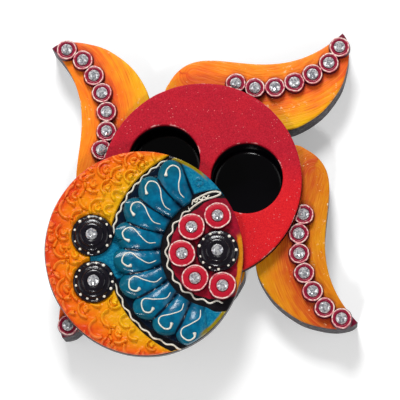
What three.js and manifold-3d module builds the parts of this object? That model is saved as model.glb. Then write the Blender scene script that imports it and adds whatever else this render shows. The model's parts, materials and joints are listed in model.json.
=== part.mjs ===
// A painted pinwheel offering box with a swinging lid, as a three.js scene graph.
// Units are millimetres, +Z is up. The origin is on the underside, below the centre
// of the round box. The lid stands swung open about its corner screw.
import * as THREE from 'three';
import { mergeVertices } from 'three/addons/utils/BufferGeometryUtils.js';
import Module from 'manifold-3d';

const wasm = await Module();
wasm.setup();

// ---------------------------------------------------------------- driving dimensions
const GAP = 0.3;                 // clearance between pieces that pass or sit in each other
const GLUE = 0.1;                // glue film under a piece that is stuck down

const BOARD_THICKNESS = 15;      // pinwheel board
const BOARD_CORE_RADIUS = 39.5;  // board under the round box, between the petals
const PETAL_BEARINGS = [0, 90, 180, 272.5];  // the last petal was cut a little further round
const PETAL_REACHES = [70, 70, 70, 67.4];    // and its tip was cut short

const DISC_RADIUS = 45.4;        // round box top
const DISC_THICKNESS = 5.5;
const WELL_RADIUS = 16.3;
const WELL_FLOOR = 4;            // wood left under each well
const WELL_CENTRES = [[20.5, 0.9], [-16.9, 9.7]];

const PIVOT_DISTANCE = 34.8;     // from the box centre to the screw
const PIVOT_BEARING = -77.3;     // degrees, where the screw stands on the box
const LID_OPENING = 77.4;        // degrees the lid is swung from closed

const LID_THICKNESS = 5;
const LID_REACH = 33.3;          // from the lid's centre to the screw
const LID_HALF_LENGTH = 44.4;    // roughly along the line from its centre to the screw
const LID_HALF_WIDTH = 46.9;     // the lid is a slightly oval hand-cut round
const LID_OVAL_TURN = 18.7;      // degrees between that line and the oval's short axis

const SCREW_HEAD_RADIUS = 4;
const SCREW_HEAD_RIM = 0.3;      // straight rim above the head's cone
const SCREW_HEAD_HEIGHT = 2.4;
const SCREW_SHANK_RADIUS = 1.9;
const SCREW_TIP_Z = 5;
const SCREW_TIP_RADIUS = 0.6;
const SCREW_TAPER = 5;           // length of the shank's pointed end
const SCREW_SLOT_WIDTH = 1;
const WASHER_RADIUS = 6;
const WASHER_THICKNESS = 0.6;

const STONE_RADIUS = 2.6;        // flat-backed rhinestones, the same on lid and petals
const STONE_HEIGHT = 1.7;
const STONE_SINK = 0.7;          // depth of the seat that a stone is pressed into

const BEADS_PER_PETAL = 7;
const BEAD_RADIUS = 4.55;
const BEAD_HEIGHT = 2.8;
const BEAD_FOOT = 0.5;           // how far a bead's foot spreads beyond its shoulder
const LID_BEADS = 5;
const LID_BEAD_RADIUS = 5.6;
const LID_BEAD_HEIGHT = 3.2;
const LID_BEAD_RING = 15.9;      // distance of the lid beads from the screw
const LID_BEAD_STEP = 47;        // degrees between neighbouring lid beads
const LID_BEAD_TURN = 1;         // degrees that the ring is turned off the middle line

const ROSETTE_RADIUS = 9.5;
const ROSETTE_HEIGHT = 4.6;
const EYE_DISTANCE = 56.8;       // distance of the two far rosettes from the screw
const EYE_SPREAD = 10.7;         // degrees either side of the line between them

const MOTIF_AXIS = 182.7;        // degrees, the motif's middle line seen from the screw
const FAN_INNER = 26;            // pleated fan, as radii about the screw
const FAN_OUTER = 45;
const FAN_PLEATS = 9;
const FAN_PLEAT_STEP = 16.1;     // degrees
const FAN_TURN = 1.5;            // degrees that the pleats are turned off the middle line
const FAN_FROM = 62;             // degrees, the plain ends of the fan's clay sheet
const FAN_TO = 280;
const PLEAT_ROOT = 0.5;          // how far a pleat's thin end passes the fan's inner edge
const PLEAT_FULLNESS = 0.97;     // share of the room between neighbours that a pleat fills
const FAN_SHEET = 1;             // clay sheet under the pleats
const FAN_PLEAT_HEIGHT = 3.2;
const CRESCENT_INNER = 49.6;     // embossed crescent beyond the fan
const CRESCENT_THICKNESS = 1.4;
const CLAY_INSET = 0.6;          // clay stops short of the lid's edge

const ROUND_SEGMENTS = 72;
const WELL_SEGMENTS = 40;
const BEAD_SEGMENTS = 12;
const ROSETTE_SEGMENTS = 24;
const STONE_FACETS = 8;

// ---------------------------------------------------------------- stacked heights
const DISC_BOTTOM = BOARD_THICKNESS + GAP;
const DISC_TOP = DISC_BOTTOM + DISC_THICKNESS;
const LID_BOTTOM = DISC_TOP + WASHER_THICKNESS + GAP;
const LID_TOP = LID_BOTTOM + LID_THICKNESS;

// ---------------------------------------------------------------- finishes
const finish = (color, roughness, metalness = 0) =>
  new THREE.MeshStandardMaterial({ color, roughness, metalness });
const ORANGE_PAINT = finish(0xf07e10, 0.45);
const RED_PAINT = finish(0xc01a2c, 0.6);
const LID_PAINT = finish(0x1a1216, 0.4);
const ORANGE_CLAY = finish(0xf28a14, 0.4);
const BLUE_CLAY = finish(0x0a6fa0, 0.35);
const MAROON_CLAY = finish(0x8e1034, 0.4);
const CRIMSON_CLAY = finish(0xc4142c, 0.35);
const BLACK_CLAY = finish(0x16131a, 0.25);
const RHINESTONE = finish(0xd8d8dc, 0.1, 0.6);
const STEEL = finish(0xb4b4b0, 0.35, 1);

// ---------------------------------------------------------------- helpers
const radians = THREE.MathUtils.degToRad;

function polar(radius, degrees) {
  return new THREE.Vector2(radius * Math.cos(radians(degrees)), radius * Math.sin(radians(degrees)));
}

function toSolid(geometry) {
  const bare = geometry.clone();
  bare.deleteAttribute('normal');
  bare.deleteAttribute('uv');
  const merged = mergeVertices(bare, 1e-4);
  return new wasm.Manifold(new wasm.Mesh({
    numProp: 3,
    vertProperties: new Float32Array(merged.attributes.position.array),
    triVerts: new Uint32Array(merged.index.array),
  }));
}

function toGeometry(solid) {
  const mesh = solid.getMesh();
  const geometry = new THREE.BufferGeometry();
  geometry.setAttribute('position', new THREE.BufferAttribute(mesh.vertProperties, 3));
  geometry.setIndex(new THREE.BufferAttribute(mesh.triVerts, 1));
  geometry.computeVertexNormals();
  return geometry;
}

function cut(geometry, ...tools) {
  return toGeometry(tools.reduce((left, tool) => left.subtract(toSolid(tool)), toSolid(geometry)));
}

function join(...geometries) {
  return toGeometry(geometries.map(toSolid).reduce((all, one) => all.add(one)));
}

function common(a, b) {
  return toGeometry(toSolid(a).intersect(toSolid(b)));
}

// A flat plate of the given outline from z = bottom to z = top.
function plate(outline, bottom, top, curveSegments = ROUND_SEGMENTS) {
  const geometry = new THREE.ExtrudeGeometry(outline, {
    depth: top - bottom, bevelEnabled: false, curveSegments,
  });
  return geometry.translate(0, 0, bottom);
}

// An upright cylinder standing on z = bottom.
function post(radius, bottom, top, [x, y] = [0, 0], segments = WELL_SEGMENTS) {
  return new THREE.CylinderGeometry(radius, radius, top - bottom, segments)
    .rotateX(Math.PI / 2).translate(x, y, (bottom + top) / 2);
}

// A solid of revolution about +Z through the given [radius, height] profile.
function turned(profile, segments) {
  const points = profile.map(([radius, z]) => new THREE.Vector2(radius, z));
  return new THREE.LatheGeometry(points, segments).rotateX(Math.PI / 2);
}

function named(name, geometry, material) {
  const mesh = new THREE.Mesh(geometry, material);
  mesh.name = name;
  return mesh;
}

function placed(mesh, { x, y }, z) {
  mesh.position.set(x, y, z);
  return mesh;
}

// ---------------------------------------------------------------- pinwheel board
// One flame-shaped petal, reaching out at the lower right of the board. The others are
// the same petal turned about the box's centre.
const PETAL_INNER_EDGE = [
  [24.2, -32], [24.8, -42], [32, -54.2], [43, -63], [52.5, -66.4], [61, -67.5], [67.4, -66.2],
];
const PETAL_OUTER_EDGE = [[69.6, -64.6], [36.3, -28], [77.1, 3.3], [43.2, 17.2]];
const NOTCH_ARC = 6;             // degrees of the round core that show between two petals
const INNER_EDGE_STEPS = 16;
const OUTER_EDGE_STEPS = 20;

const vectors = (pairs) => pairs.map(([x, y]) => new THREE.Vector2(x, y));

function petalOutline() {
  const inner = new THREE.SplineCurve(vectors(PETAL_INNER_EDGE)).getSpacedPoints(INNER_EDGE_STEPS);
  const outer = new THREE.CubicBezierCurve(...vectors(PETAL_OUTER_EDGE)).getSpacedPoints(OUTER_EDGE_STEPS);
  return [...inner, ...outer];
}

function pinwheelOutline() {
  const petal = petalOutline();
  const rootBearing = Math.asin(PETAL_OUTER_EDGE[3][1] / BOARD_CORE_RADIUS) * THREE.MathUtils.RAD2DEG;
  const notch = [rootBearing, rootBearing + NOTCH_ARC].map((bearing) => polar(BOARD_CORE_RADIUS, bearing));
  const points = PETAL_BEARINGS.flatMap((bearing, index) => [...petal, ...notch].map(({ x, y }) => {
    const point = new THREE.Vector2(Math.min(x, PETAL_REACHES[index]), y);
    return point.rotateAround(new THREE.Vector2(), radians(bearing));
  }));
  return new THREE.Shape(points);
}

const pivot = polar(PIVOT_DISTANCE, PIVOT_BEARING);
const pivotPair = [pivot.x, pivot.y];

function baseBoard() {
  const wells = WELL_CENTRES.map((centre) => post(WELL_RADIUS, WELL_FLOOR, BOARD_THICKNESS + 1, centre));
  const screwHole = post(SCREW_SHANK_RADIUS + GAP, SCREW_TIP_Z - GAP, BOARD_THICKNESS + 1, pivotPair,
    BEAD_SEGMENTS);
  const board = plate(pinwheelOutline(), 0, BOARD_THICKNESS);
  return named('base_board', cut(board, ...wells, screwHole), ORANGE_PAINT);
}

function boxDisc() {
  const disc = post(DISC_RADIUS, DISC_BOTTOM, DISC_TOP, [0, 0], ROUND_SEGMENTS);
  const wells = WELL_CENTRES.map((centre) => post(WELL_RADIUS, DISC_BOTTOM - 1, DISC_TOP + 1, centre));
  const screwHole = post(SCREW_SHANK_RADIUS + GAP, DISC_BOTTOM - 1, DISC_TOP + 1, pivotPair, BEAD_SEGMENTS);
  return named('well_disc', cut(disc, ...wells, screwHole), RED_PAINT);
}

// ---------------------------------------------------------------- beads and stones
// A clay bead pressed down so that its foot spreads a little.
function beadSolid(radius, height) {
  return turned([
    [0, 0], [radius + BEAD_FOOT, 0], [radius + BEAD_FOOT * 0.7, height * 0.3], [radius, height * 0.65],
    [radius * 0.85, height], [0, height],
  ], BEAD_SEGMENTS);
}

function stoneSeat(height) {
  return post(STONE_RADIUS + GAP, height - STONE_SINK, height + 1, [0, 0], BEAD_SEGMENTS);
}

function stone(name) {
  const shape = turned([
    [0, 0], [STONE_RADIUS, 0], [STONE_RADIUS, STONE_SINK], [STONE_RADIUS * 0.55, STONE_HEIGHT],
    [0, STONE_HEIGHT],
  ], STONE_FACETS);
  return named(name, shape, RHINESTONE);
}

// The bead row follows the petal from the box's edge out to the tip.
const BEAD_ROW = [[45.9, -15.5], [37.2, -36.1], [53.8, -62], [62.4, -63.1]];

function beadCentres(bearing) {
  const row = new THREE.CubicBezierCurve(...vectors(BEAD_ROW)).getSpacedPoints(BEADS_PER_PETAL - 1);
  return row.map((point) => point.rotateAround(new THREE.Vector2(), radians(bearing)));
}

function beadRow(name, centres) {
  const beads = centres.map(({ x, y }) => beadSolid(BEAD_RADIUS, BEAD_HEIGHT).translate(x, y, 0));
  const seats = centres.map(({ x, y }) => stoneSeat(BEAD_HEIGHT).translate(x, y, 0));
  const besideDisc = post(DISC_RADIUS + GAP, -1, BEAD_HEIGHT + 1, [0, 0], ROUND_SEGMENTS);
  return placed(
    named(name, cut(join(...beads), ...seats, besideDisc), MAROON_CLAY),
    new THREE.Vector2(),
    BOARD_THICKNESS + GLUE,
  );
}

function jewelledPetal(bearing, petalIndex) {
  const centres = beadCentres(bearing);
  const seatFloor = BOARD_THICKNESS + GLUE + BEAD_HEIGHT - STONE_SINK + GLUE;
  const petalName = `petal_${petalIndex + 1}`;
  const stones = centres.map((centre, index) =>
    placed(stone(`${petalName}_stone_${index + 1}`), centre, seatFloor));
  return [beadRow(`${petalName}_bead_row`, centres), ...stones];
}

// ---------------------------------------------------------------- screw and washer
function pivotScrew() {
  const headTop = LID_TOP - GLUE;
  const shank = turned([
    [0, SCREW_TIP_Z], [SCREW_TIP_RADIUS, SCREW_TIP_Z + SCREW_TIP_RADIUS],
    [SCREW_SHANK_RADIUS, SCREW_TIP_Z + SCREW_TAPER],
    [SCREW_SHANK_RADIUS, headTop - SCREW_HEAD_HEIGHT],
    [SCREW_HEAD_RADIUS, headTop - SCREW_HEAD_RIM], [SCREW_HEAD_RADIUS, headTop], [0, headTop],
  ], BEAD_SEGMENTS);
  const slot = new THREE.BoxGeometry(3 * SCREW_HEAD_RADIUS, SCREW_SLOT_WIDTH, 2 * SCREW_SLOT_WIDTH)
    .translate(0, 0, headTop);
  return placed(named('pivot_screw', cut(shank, slot), STEEL), pivot, 0);
}

function pivotWasher() {
  const ring = post(WASHER_RADIUS, DISC_TOP, DISC_TOP + WASHER_THICKNESS, [0, 0], ROSETTE_SEGMENTS);
  const hole = post(SCREW_SHANK_RADIUS + GAP, DISC_TOP - 1, DISC_TOP + 2, [0, 0], BEAD_SEGMENTS);
  return placed(named('pivot_washer', cut(ring, hole), STEEL), pivot, 0);
}

// ---------------------------------------------------------------- lid
// Everything on the lid is set out about the screw: x runs from the lid's centre
// towards the screw, and heights are counted from the lid's upper face.
const lidCentre = new THREE.Vector2(-LID_REACH, 0);

function lidOutline(inset) {
  const shape = new THREE.Shape();
  shape.absellipse(lidCentre.x, lidCentre.y, LID_HALF_LENGTH - inset, LID_HALF_WIDTH - inset,
    0, 2 * Math.PI, false, radians(LID_OVAL_TURN));
  return shape;
}

function sector(innerRadius, outerRadius, from, to) {
  const shape = new THREE.Shape();
  shape.absarc(0, 0, outerRadius, radians(from), radians(to), false);
  shape.absarc(0, 0, innerRadius, radians(to), radians(from), true);
  return shape;
}

function lidBoard() {
  const clearance = post(SCREW_SHANK_RADIUS + 2 * GAP, -LID_THICKNESS - 1, 1, [0, 0], BEAD_SEGMENTS);
  const coneBottom = -SCREW_HEAD_HEIGHT - 3 * GAP;
  const coneTop = -SCREW_HEAD_RIM - 2 * GAP;
  const countersink = turned([
    [0, coneBottom], [SCREW_SHANK_RADIUS + GAP, coneBottom],
    [SCREW_HEAD_RADIUS + 2 * GAP, coneTop], [SCREW_HEAD_RADIUS + 2 * GAP, 1], [0, 1],
  ], BEAD_SEGMENTS);
  const board = plate(lidOutline(0), -LID_THICKNESS, 0, ROUND_SEGMENTS / 2);
  return named('lid_board', cut(board, clearance, countersink), LID_PAINT);
}

// One puffy pleat of the fan: a teardrop lying along +X, round end outwards. Its outline
// is given as shares of its half width and of its length.
const PLEAT_OUTLINE = [[0, 0], [0.5, 0.06], [0.78, 0.4], [1, 0.72], [0.72, 0.93], [0, 1]];

function pleat() {
  const length = FAN_OUTER - FAN_INNER + 4 * PLEAT_ROOT;
  const halfWidth = FAN_OUTER * Math.sin(radians(FAN_PLEAT_STEP / 2)) * PLEAT_FULLNESS;
  const profile = PLEAT_OUTLINE.map(([width, along]) => new THREE.Vector2(width * halfWidth, along * length));
  return new THREE.LatheGeometry(profile, BEAD_SEGMENTS)
    .rotateZ(-Math.PI / 2)
    .scale(1, 1, FAN_PLEAT_HEIGHT / halfWidth)
    .translate(FAN_INNER - PLEAT_ROOT, 0, 0);
}

const PLEAT_BEARINGS = Array.from({ length: FAN_PLEATS }, (_, index) =>
  MOTIF_AXIS + FAN_TURN + (index - (FAN_PLEATS - 1) / 2) * FAN_PLEAT_STEP);

function blueFan() {
  const sheet = plate(sector(FAN_INNER, FAN_OUTER, FAN_FROM, FAN_TO), 0, FAN_SHEET, ROUND_SEGMENTS / 2);
  const pleats = PLEAT_BEARINGS.map((bearing) => pleat().rotateZ(radians(bearing)));
  const overTheLid = plate(lidOutline(CLAY_INSET), 0, FAN_PLEAT_HEIGHT + 1, ROUND_SEGMENTS / 2);
  const fan = common(join(sheet, ...pleats), overTheLid);
  return placed(named('blue_fan', fan, BLUE_CLAY), new THREE.Vector2(), GLUE);
}

const eyeCentres = [MOTIF_AXIS - EYE_SPREAD, MOTIF_AXIS + EYE_SPREAD]
  .map((bearing) => polar(EYE_DISTANCE, bearing));

function embossedCrescent() {
  const sheet = plate(lidOutline(CLAY_INSET), 0, CRESCENT_THICKNESS, ROUND_SEGMENTS / 2);
  const insideArc = post(CRESCENT_INNER, -1, CRESCENT_THICKNESS + 1, [0, 0], ROUND_SEGMENTS);
  const eyes = eyeCentres.map(({ x, y }) =>
    post(ROSETTE_RADIUS + 2 * GAP, -1, CRESCENT_THICKNESS + 1, [x, y], ROSETTE_SEGMENTS));
  return placed(
    named('embossed_crescent', cut(sheet, insideArc, ...eyes), ORANGE_CLAY),
    new THREE.Vector2(),
    GLUE,
  );
}

// A stepped black cone with a flat top that seats a stone. Its steps are given as
// shares of its radius and height.
const ROSETTE_STEPS = [
  [0, 0], [1, 0], [1, 0.35], [0.84, 0.5], [0.8, 0.62], [0.62, 0.72], [0.58, 0.86], [0.42, 1], [0, 1],
];

function rosette(name, centre) {
  const profile = ROSETTE_STEPS.map(([across, up]) => [across * ROSETTE_RADIUS, up * ROSETTE_HEIGHT]);
  const dome = turned(profile, ROSETTE_SEGMENTS);
  return placed(named(name, cut(dome, stoneSeat(ROSETTE_HEIGHT)), BLACK_CLAY), centre, GLUE);
}

function lidBead(index) {
  const bearing = MOTIF_AXIS + LID_BEAD_TURN + (index - (LID_BEADS - 1) / 2) * LID_BEAD_STEP;
  const centre = polar(LID_BEAD_RING, bearing);
  const bead = cut(beadSolid(LID_BEAD_RADIUS, LID_BEAD_HEIGHT), stoneSeat(LID_BEAD_HEIGHT));
  return [
    placed(named(`lid_bead_${index + 1}`, bead, CRIMSON_CLAY), centre, GLUE),
    placed(stone(`lid_stone_${index + 1}`), centre, LID_BEAD_HEIGHT - STONE_SINK + 2 * GLUE),
  ];
}

function rosetteWithStone(name, centre) {
  return [
    rosette(`${name}_rosette`, centre),
    placed(stone(`${name}_stone`), centre, ROSETTE_HEIGHT - STONE_SINK + 2 * GLUE),
  ];
}

function swingLid() {
  const lid = new THREE.Group();
  lid.add(lidBoard(), blueFan(), embossedCrescent());
  lid.add(...rosetteWithStone('pivot', new THREE.Vector2()));
  lid.add(...rosetteWithStone('upper_eye', eyeCentres[0]));
  lid.add(...rosetteWithStone('lower_eye', eyeCentres[1]));
  for (let index = 0; index < LID_BEADS; index += 1) lid.add(...lidBead(index));
  return lid;
}

// ---------------------------------------------------------------- assembly
const box = new THREE.Group();
box.add(baseBoard(), boxDisc(), pivotScrew(), pivotWasher());
PETAL_BEARINGS.forEach((bearing, index) => box.add(...jewelledPetal(bearing, index)));

// Closed, the lid's centre line points from the box centre to the screw.
const lid = swingLid();
lid.position.set(pivot.x, pivot.y, LID_TOP);
lid.rotation.z = radians(PIVOT_BEARING + LID_OPENING);
box.add(lid);

export default box;
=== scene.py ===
"""Looks of a painted pinwheel offering box with a swinging lid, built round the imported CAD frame.

Lengths in this script are millimetres until a mesh is made. Places come from the CAD nodes and
from the lid's joint. Whatever lies on the lid is set out by its distance from the screw and by
its angle about the screw, counted from the line that runs midway between the two eye rosettes.
"""
import json
import math
import random

import bmesh
import bpy
import numpy as np
from mathutils import Matrix, Vector, kdtree, noise
from mathutils.geometry import delaunay_2d_cdt


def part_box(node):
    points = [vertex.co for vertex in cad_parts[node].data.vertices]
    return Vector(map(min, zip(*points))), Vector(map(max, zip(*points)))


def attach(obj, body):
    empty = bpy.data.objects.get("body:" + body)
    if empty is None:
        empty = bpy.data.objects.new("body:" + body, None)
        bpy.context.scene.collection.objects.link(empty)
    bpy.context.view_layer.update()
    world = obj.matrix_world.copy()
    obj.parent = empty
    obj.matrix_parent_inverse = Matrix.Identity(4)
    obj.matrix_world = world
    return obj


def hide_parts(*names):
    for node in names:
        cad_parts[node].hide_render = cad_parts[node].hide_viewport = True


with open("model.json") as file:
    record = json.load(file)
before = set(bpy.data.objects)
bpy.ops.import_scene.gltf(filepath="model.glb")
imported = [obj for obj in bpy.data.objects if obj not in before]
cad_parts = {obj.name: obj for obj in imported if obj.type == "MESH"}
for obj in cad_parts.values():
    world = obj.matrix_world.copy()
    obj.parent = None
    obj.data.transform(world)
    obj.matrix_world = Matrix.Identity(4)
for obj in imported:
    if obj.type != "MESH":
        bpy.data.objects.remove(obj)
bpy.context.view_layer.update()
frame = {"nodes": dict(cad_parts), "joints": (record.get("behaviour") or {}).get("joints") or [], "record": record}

MM = 0.001
NO_CORNERS = 150         # for smooth_line: nothing on the line turns this sharply
BOARD_GRID = 1.3         # between the points that cover a board
SEED = 11
dice = random.Random(SEED)


# ---------------------------------------------------------------- places taken from the frame
def corners_of(node):
    low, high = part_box(node)
    return np.array(low) / MM, np.array(high) / MM


def centre_of(node):
    """The middle of a node in plan."""
    low, high = corners_of(node)
    return ((low + high) / 2)[:2]


def cad_outline(node):
    """The outer edge of a CAD node's underside, as an ordered loop of (x, y)."""
    mesh = frame["nodes"][node].data
    floor = min(v.co.z for v in mesh.vertices)
    following = {}
    sides = set()

    def key(i):
        return tuple(round(c / MM, 3) for c in mesh.vertices[i].co[:2])

    for polygon in mesh.polygons:
        if all(mesh.vertices[i].co.z < floor + 0.01 * MM for i in polygon.vertices):
            ids = [key(i) for i in polygon.vertices]
            sides.update(zip(ids, ids[1:] + ids[:1]))
    for start, end in sides:
        if (end, start) not in sides:
            following[start] = end
    loops = []
    while following:
        loop = [next(iter(following))]
        while loop[-1] in following:
            loop.append(following.pop(loop[-1]))
        loops.append(np.array(loop[:-1]))
    return max(loops, key=len)


BOARD_TOP = corners_of("base_board")[1][2]
DISC_LOW, DISC_HIGH = corners_of("well_disc")
DISC_RADIUS = (DISC_HIGH[0] - DISC_LOW[0]) / 2
LID_LOW, LID_HIGH = corners_of("lid_board")
LID_TOP = LID_HIGH[2]
LID_CENTRE = centre_of("lid_board")
SCREW = np.array(frame["joints"][0]["pos_m"][:2]) / MM
EYES = [centre_of("upper_eye_rosette"), centre_of("lower_eye_rosette")]
AXIS_BEARING = math.atan2(*((EYES[0] + EYES[1]) / 2 - SCREW)[::-1])


def polar(centre, radius, angle):
    """The point at that radius and angle, in radians, about a centre."""
    return np.stack([centre[0] + radius * np.cos(angle), centre[1] + radius * np.sin(angle)], -1)


def on_lid(radius, degrees):
    """The point at that distance and angle about the screw."""
    return polar(SCREW, radius, AXIS_BEARING + np.radians(degrees))


def about_screw(points):
    """Distance from the screw and angle in degrees of points lying on the lid."""
    offset = np.asarray(points)[..., :2] - SCREW
    bearing = np.arctan2(offset[..., 1], offset[..., 0]) - AXIS_BEARING
    degrees = (np.degrees(bearing) + 180) % 360 - 180
    return away_from(points, SCREW), degrees


# ---------------------------------------------------------------- lines and regions in the plane
def turn_between(a, b, c):
    """Degrees that a path turns by at b."""
    u, v = b - a, c - b
    cosine = np.dot(u, v) / (np.linalg.norm(u) * np.linalg.norm(v) + 1e-12)
    return math.degrees(math.acos(np.clip(cosine, -1, 1)))


def smooth_line(points, spacing, closed=False, corner=35):
    """A smooth line through the points; turns sharper than `corner` degrees stay sharp."""
    points = np.asarray(points, float)
    count = len(points)
    line = []
    for i in range(count if closed else count - 1):
        a, b = points[i], points[(i + 1) % count]
        before = points[i - 1] if closed or i > 0 else 2 * a - b
        after = points[(i + 2) % count] if closed or i + 2 < count else 2 * b - a
        if turn_between(before, a, b) > corner:
            before = 2 * a - b
        if turn_between(a, b, after) > corner:
            after = 2 * b - a
        steps = max(1, round(np.linalg.norm(b - a) / spacing))
        for t in np.arange(steps) / steps:
            line.append(0.5 * (2 * a + (b - before) * t + (2 * before - 5 * a + 4 * b - after) * t**2
                               + (3 * a - before - 3 * b + after) * t**3))
    if not closed:
        line.append(points[-1])
    return np.array(line)


def away_from(points, centre):
    """Distance in plan of each point from the centre."""
    offset = np.asarray(points)[..., :2] - centre
    return np.hypot(offset[..., 0], offset[..., 1])


def circle(centre, radius, spacing):
    count = max(24, round(2 * math.pi * radius / spacing))
    return polar(centre, radius, np.arange(count) * 2 * math.pi / count)


def at_height(flat, height):
    """Points in plan, lifted to one height or each to its own."""
    return np.concatenate([flat, np.broadcast_to(height, flat.shape[:-1])[..., None]], -1)


def length_along(line):
    """How far along the line each of its points is."""
    return np.concatenate([[0], np.cumsum(np.linalg.norm(np.diff(line, axis=0), axis=1))])


def distance_to_loop(points, loop):
    step = np.roll(loop, -1, axis=0) - loop
    nearest = []
    for part in np.array_split(np.asarray(points, float), max(1, len(points) // 2000)):
        offset = part[:, None, :] - loop
        along = np.clip((offset * step).sum(2) / ((step * step).sum(1) + 1e-12), 0, 1)
        nearest.append(np.linalg.norm(offset - along[..., None] * step, axis=2).min(axis=1))
    return np.concatenate(nearest)


def edge_distance(points, *loops):
    """Distance in plan from each point to the nearest of the loops."""
    return np.min([distance_to_loop(points[:, :2], loop) for loop in loops], axis=0)


def inside(points, loop):
    x, y = points[:, 0, None], points[:, 1, None]
    (x0, y0), (x1, y1) = loop.T, np.roll(loop, -1, axis=0).T
    rise = np.where(y1 == y0, 1e-12, y1 - y0)
    crossed = ((y0 > y) != (y1 > y)) & (x < x0 + (y - y0) * (x1 - x0) / rise)
    return crossed.sum(axis=1) % 2 == 1


def fill(loops, spacing, insets=()):
    """Points and triangles that cover the first loop and leave the other loops open. Rows of
    points run along every loop at the given insets."""
    def covered(points):
        return inside(points, loops[0]) & ~np.any([inside(points, h) for h in loops[1:]] or
                                                  [np.zeros(len(points), bool)], axis=0)

    points = list(loops)
    for inset in insets:
        for loop in loops:
            ahead = np.roll(loop, -1, axis=0) - np.roll(loop, 1, axis=0)
            normal = np.stack([-ahead[:, 1], ahead[:, 0]], -1) / np.linalg.norm(ahead, axis=1)[:, None]
            for side in (1, -1):
                row = loop + side * inset * normal
                points.append(row[covered(row) & (edge_distance(row, *loops) > 0.93 * inset)])
    low, high = loops[0].min(axis=0), loops[0].max(axis=0)
    rows = np.arange(low[1], high[1], spacing * math.sqrt(0.75))
    grid = np.array([(x + (j % 2) * spacing / 2, y) for j, y in enumerate(rows)
                     for x in np.arange(low[0], high[0], spacing)])
    grid = grid[covered(grid)]
    points.append(grid[edge_distance(grid, *loops) > max(insets, default=0) + 0.6 * spacing])
    edges = []
    first = 0
    for loop in loops:
        edges += [(first + i, first + (i + 1) % len(loop)) for i in range(len(loop))]
        first += len(loop)
    points = [Vector(p) for p in np.concatenate(points)]
    verts, _, faces, *_ = delaunay_2d_cdt(points, edges, [], 0, 1e-6)
    verts = np.array([tuple(v) for v in verts])
    faces = np.array(faces)
    return verts, faces[covered(verts[faces].mean(axis=1))]


def roll_off(distance, radius):
    """Height from 0 to 1 over a rounded edge, at a distance inwards from it."""
    short = 1 - np.clip(np.asarray(distance) / radius, 0, 1)
    return np.sqrt(np.clip(1 - short * short, 0, 1))


def ease(value, start, end):
    t = np.clip((np.asarray(value, float) - start) / (end - start), 0, 1)
    return t * t * (3 - 2 * t)


def waver_along(run, size, seed):
    """Smooth noise from -1 to 1 along a length."""
    return waver(np.column_stack([run, run * 0]), size, seed)


def waver(points, size, seed=0.0):
    """Smooth noise from -1 to 1 at each point, with lumps of about `size`."""
    points = np.asarray(points, float)
    flat = points.shape[-1] == 2
    return np.array([noise.noise(Vector((p[0], p[1], seed if flat else p[2] + seed)) / size)
                     for p in points.reshape(-1, points.shape[-1])]).reshape(points.shape[:-1])


def put_in_scene(name, data):
    thing = bpy.data.objects.new(name, data)
    bpy.context.scene.collection.objects.link(thing)
    return thing


# ---------------------------------------------------------------- skins
class Skin:
    """Vertices and faces gathered patch by patch. Patches that share points are welded."""

    def __init__(self):
        self.points = []
        self.faces = []

    def patch(self, points, faces):
        first = len(self.points)
        self.points.extend(tuple(p) for p in points)
        self.faces.extend(tuple(first + int(i) for i in face) for face in faces)

    def sheet(self, rows, ring=False, tube=False):
        """Quads between rows of points. A ring joins each row's ends, a tube the first and last row."""
        rows = np.asarray(rows, float)
        count, length = rows.shape[:2]

        def at(j, i):
            return (j % count) * length + i % length

        faces = [(at(j, i), at(j, i + 1), at(j + 1, i + 1), at(j + 1, i))
                 for j in range(count if tube else count - 1)
                 for i in range(length if ring else length - 1)]
        self.patch(rows.reshape(-1, 3), faces)

    def lathe(self, centre, profile, segments, shape=None):
        """A turned form; `shape(points)` may press it out of round."""
        angle = np.arange(segments) * 2 * math.pi / segments
        rows = np.array([at_height(polar(centre, r, angle), z) for r, z in profile])
        self.sheet(shape(rows) if shape else rows, ring=True)

    def piece(self, name, material, body, slot, replaces=(), sharp=40):
        mesh = bpy.data.meshes.new(name)
        mesh.from_pydata([Vector(p) * MM for p in self.points], [], self.faces)
        work = bmesh.new()
        work.from_mesh(mesh)
        bmesh.ops.remove_doubles(work, verts=work.verts, dist=0.004 * MM)
        bmesh.ops.recalc_face_normals(work, faces=work.faces)
        work.to_mesh(mesh)
        work.free()
        mesh.polygons.foreach_set("use_smooth", [True] * len(mesh.polygons))
        mesh.set_sharp_from_angle(angle=math.radians(sharp))
        mesh.materials.append(material)
        thing = put_in_scene(name, mesh)
        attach(thing, body)
        if replaces:
            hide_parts(*replaces)
        return thing


def places(thing):
    """The vertices of a piece in millimetres."""
    flat = np.empty(len(thing.data.vertices) * 3)
    thing.data.vertices.foreach_get("co", flat)
    return flat.reshape(-1, 3) / MM


def mark(thing, **values):
    """Stores a number per vertex that the paint reads."""
    for name, numbers in values.items():
        attribute = thing.data.attributes.new(name, "FLOAT", "POINT")
        attribute.data.foreach_set("value", np.asarray(numbers, np.float32))


def mark_height(thing, low, high):
    """Marks how far up its CAD node's height each vertex is, from 0 to 1."""
    mark(thing, up=(places(thing)[:, 2] - low[2]) / (high[2] - low[2]))


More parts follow.
